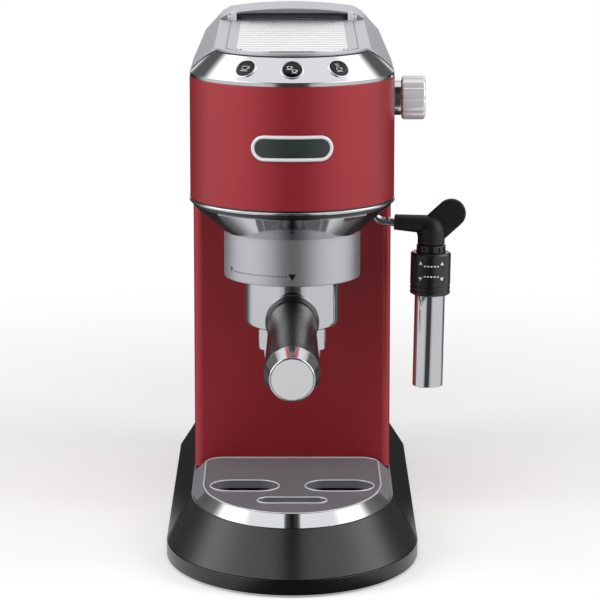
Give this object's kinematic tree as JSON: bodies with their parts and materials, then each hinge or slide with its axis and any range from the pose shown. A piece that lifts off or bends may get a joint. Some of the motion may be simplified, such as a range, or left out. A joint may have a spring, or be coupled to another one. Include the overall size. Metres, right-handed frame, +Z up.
{
  "type": "espresso machine",
  "caption": "Slim pump espresso machine with a red body, a black base with a sliding drip tray, a portafilter in a round group, a milk frother wand and a lift-out tank.",
  "frame": {"origin": "middle of the bounding box in plan, at the height of the counter the feet stand on", "axes": "+Z up, the front with the portafilter faces -Y, +X is the machine's right side seen from the front, where the wand and the steam knob are"},
  "size_m": [0.1792, 0.3493, 0.306],
  "materials": {
    "red_paint": "satin metallic red paint on sheet steel",
    "black_plastic": "black moulded plastic with a light satin sheen",
    "black_rubber": "soft black rubber",
    "chrome": "bright chrome plating",
    "brushed_steel": "brushed stainless steel",
    "polished_steel": "polished stainless steel",
    "silver_paint": "silver paint, satin",
    "cast_aluminium": "cast, as it comes from the mould",
    "brass": "machined brass",
    "clear_hose": "milky silicone tube",
    "board": "green circuit board",
    "badge": "blank grey field in a chrome rim",
    "smoked_plastic": "smoked clear plastic"
  },
  "bodies": {
    "base": {"body_wrap": "red_paint", "column_front": "red_paint", "base_plate": "black_plastic", "base_rear_shell": "black_plastic", "chassis": "black_plastic", "head_underbody": "black_plastic", "foot_front_left": "black_rubber", "foot_front_right": "black_rubber", "foot_rear_left": "black_rubber", "foot_rear_right": "black_rubber", "cord_gland": "black_rubber", "group_gasket": "black_rubber", "tank_seat": "black_rubber", "pump_mount": "black_rubber", "rail_bar": "chrome", "control_panel": "chrome", "head_ring": "chrome", "head_skirt": "chrome", "knob_neck": "chrome", "wand_socket": "chrome", "warmer_plate": "brushed_steel", "group_sleeve": "brushed_steel", "shower_screen": "brushed_steel", "screen_screw": "brushed_steel", "pump": "brushed_steel", "top_cover": "silver_paint", "rail_end_left": "silver_paint", "rail_end_right": "silver_paint", "group_head": "cast_aluminium", "thermoblock": "cast_aluminium", "steam_valve": "brass", "steam_pipe": "brass", "suction_hose": "clear_hose", "pressure_hose": "clear_hose", "switch_board": "board", "badge": "badge"},
    "drip_tray": {"drip_tray": "black_plastic", "tray_trim": "chrome"},
    "cup_plate": {"cup_plate": "polished_steel"},
    "portafilter": {"portafilter_bowl": "chrome", "filter_basket": "brushed_steel", "spout": "black_plastic", "handle_grip": "black_plastic", "handle_cap": "chrome"},
    "one_cup_button": {"one_cup_button": "black_plastic"},
    "two_cup_button": {"two_cup_button": "black_plastic"},
    "steam_button": {"steam_button": "black_plastic"},
    "steam_knob": {"steam_knob": "chrome"},
    "wand": {"wand_tube": "chrome", "wand_elbow": "black_rubber", "frother_core": "black_plastic", "steam_nozzle": "brushed_steel"},
    "frother": {"frother_collar": "black_plastic", "frother_sleeve": "chrome"},
    "tank": {"water_tank": "smoked_plastic", "tank_valve": "black_plastic"},
    "tank_lid": {"tank_lid": "silver_paint"}
  },
  "joints": [
    {"name": "portafilter_turn", "type": "hinge", "parent": "base", "child": "portafilter", "pos_m": [-0.01515, -0.02767, 0.165], "axis": [0, 0, 1], "range_deg": [-60, 0]},
    {"name": "tray_slide", "type": "slide", "parent": "base", "child": "drip_tray", "axis": [0, -1, 0], "range_m": [0, 0.17]},
    {"name": "cup_plate_lift", "type": "slide", "parent": "drip_tray", "child": "cup_plate", "axis": [0, 0, 1], "range_m": [0, 0.06]},
    {"name": "steam_knob_turn", "type": "hinge", "parent": "base", "child": "steam_knob", "pos_m": [0.05485, -0.00767, 0.2655], "axis": [1, 0, 0], "range_deg": [0, 270]},
    {"name": "wand_swivel", "type": "hinge", "parent": "base", "child": "wand", "pos_m": [0.03385, -0.00567, 0.205], "axis": [0, 0, 1], "range_deg": [-60, 30]},
    {"name": "frother_slide", "type": "slide", "parent": "wand", "child": "frother", "axis": [0.0175, 0, 0.9998], "range_m": [0, 0.005]},
    {"name": "tank_lift", "type": "slide", "parent": "base", "child": "tank", "axis": [0, 0, 1], "range_m": [0, 0.26]},
    {"name": "tank_lid_hinge", "type": "hinge", "parent": "tank", "child": "tank_lid", "pos_m": [-0.01515, 0.17033, 0.29905], "axis": [-1, 0, 0], "range_deg": [0, 95]},
    {"name": "one_cup_button_press", "type": "slide", "parent": "base", "child": "one_cup_button", "axis": [0.3496, 0.6056, -0.7148], "range_m": [0, 0.0015], "stiffness_N_per_m": 500, "springref_m": -0.0006},
    {"name": "two_cup_button_press", "type": "slide", "parent": "base", "child": "two_cup_button", "axis": [0, 0.6993, -0.7148], "range_m": [0, 0.0015], "stiffness_N_per_m": 500, "springref_m": -0.0006},
    {"name": "steam_button_press", "type": "slide", "parent": "base", "child": "steam_button", "axis": [-0.3496, 0.6056, -0.7148], "range_m": [0, 0.0015], "stiffness_N_per_m": 500, "springref_m": -0.0006}
  ]
}
